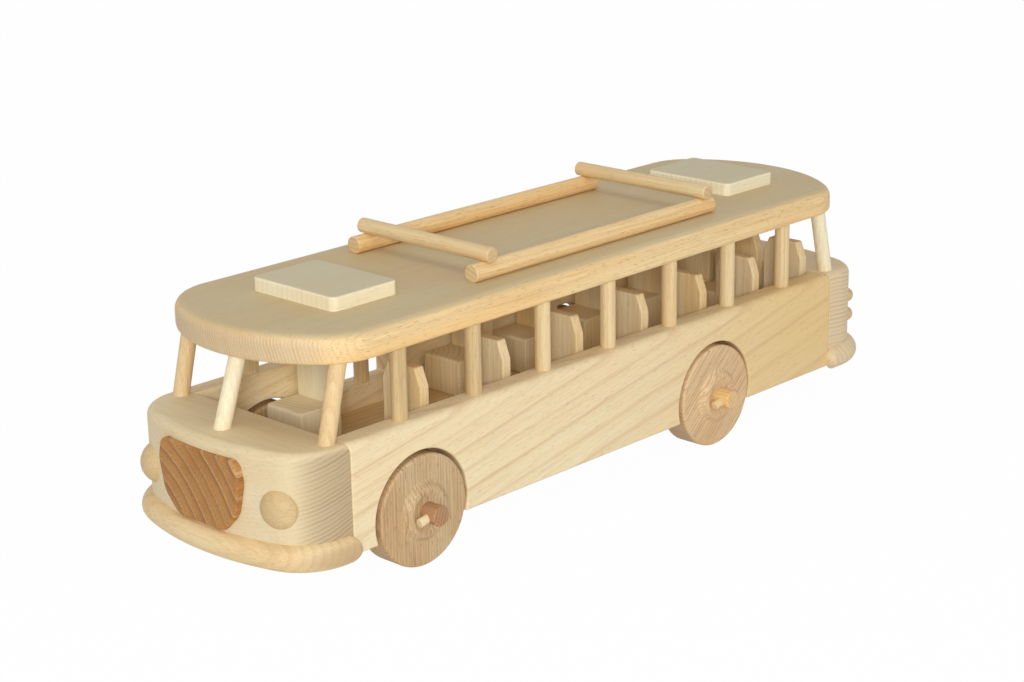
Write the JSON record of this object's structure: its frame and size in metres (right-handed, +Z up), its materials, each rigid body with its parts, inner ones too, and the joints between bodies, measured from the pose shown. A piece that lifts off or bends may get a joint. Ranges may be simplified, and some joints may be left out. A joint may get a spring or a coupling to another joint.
{
  "type": "toy bus",
  "caption": "Unpainted wooden toy bus with a dowel-pillared open cabin, bench seats, a roof rack, domed lights, a shield-shaped grille and freely turning wheels.",
  "frame": {"origin": "on the ground under the middle of the bus's length and width", "axes": "+X ahead towards the nose, +Y to the bus's left, +Z up"},
  "size_m": [0.368, 0.12, 0.1119],
  "materials": {
    "pale_beech": "sanded, unpainted, pale",
    "warm_beech": "sanded, unpainted, warm",
    "roof_beech": "sanded, unpainted, tan",
    "wheel_wood": "turned, unpainted, tan brown",
    "red_wood": "sanded, unpainted, red brown"
  },
  "bodies": {
    "bus": {"nose_block": "pale_beech", "tail_block": "pale_beech", "side_panel_left": "pale_beech", "side_panel_right": "pale_beech", "front_bumper": "pale_beech", "rear_bumper": "pale_beech", "pillar_left_1": "pale_beech", "pillar_left_2": "pale_beech", "pillar_left_3": "pale_beech", "pillar_left_4": "pale_beech", "pillar_left_5": "pale_beech", "pillar_left_6": "pale_beech", "pillar_left_7": "pale_beech", "pillar_right_1": "pale_beech", "pillar_right_2": "pale_beech", "pillar_right_3": "pale_beech", "pillar_right_4": "pale_beech", "pillar_right_5": "pale_beech", "pillar_right_6": "pale_beech", "pillar_right_7": "pale_beech", "door_post": "pale_beech", "windscreen_dowel_left": "pale_beech", "windscreen_dowel_right": "pale_beech", "windscreen_dowel_centre": "pale_beech", "rear_dowel_left": "pale_beech", "rear_dowel_right": "pale_beech", "wheel_pegs": "pale_beech", "floor_board": "warm_beech", "axle_rear": "warm_beech", "roof_hatch_front": "warm_beech", "roof_hatch_rear": "warm_beech", "rack_rail_left": "warm_beech", "rack_rail_right": "warm_beech", "rack_bar_front": "warm_beech", "rack_bar_rear": "warm_beech", "headlight_left": "warm_beech", "headlight_right": "warm_beech", "tail_lights_left": "warm_beech", "tail_lights_right": "warm_beech", "seat_left_1": "warm_beech", "seat_left_2": "warm_beech", "seat_left_3": "warm_beech", "seat_left_4": "warm_beech", "seat_left_5": "warm_beech", "seat_left_6": "warm_beech", "seat_left_7": "warm_beech", "seat_right_1": "warm_beech", "seat_right_3": "warm_beech", "seat_right_4": "warm_beech", "seat_right_5": "warm_beech", "seat_right_6": "warm_beech", "seat_right_7": "warm_beech", "seat_middle": "warm_beech", "roof_board": "roof_beech", "radiator_grille": "red_wood", "axle_front": "red_wood"},
    "wheel_front_left": {"wheel_front_left": "wheel_wood"},
    "wheel_front_right": {"wheel_front_right": "wheel_wood"},
    "wheel_rear_left": {"wheel_rear_left": "wheel_wood"},
    "wheel_rear_right": {"wheel_rear_right": "wheel_wood"}
  },
  "joints": [
    {"name": "wheel_front_left_spin", "type": "hinge", "parent": "bus", "child": "wheel_front_left", "pos_m": [0.1139, 0.0443, 0.0224], "axis": [0, 1, 0], "continuous": true},
    {"name": "wheel_front_right_spin", "type": "hinge", "parent": "bus", "child": "wheel_front_right", "pos_m": [0.1139, -0.0443, 0.0224], "axis": [0, 1, 0], "continuous": true},
    {"name": "wheel_rear_left_spin", "type": "hinge", "parent": "bus", "child": "wheel_rear_left", "pos_m": [-0.0627, 0.0443, 0.0224], "axis": [0, 1, 0], "continuous": true},
    {"name": "wheel_rear_right_spin", "type": "hinge", "parent": "bus", "child": "wheel_rear_right", "pos_m": [-0.0627, -0.0443, 0.0224], "axis": [0, 1, 0], "continuous": true}
  ]
}
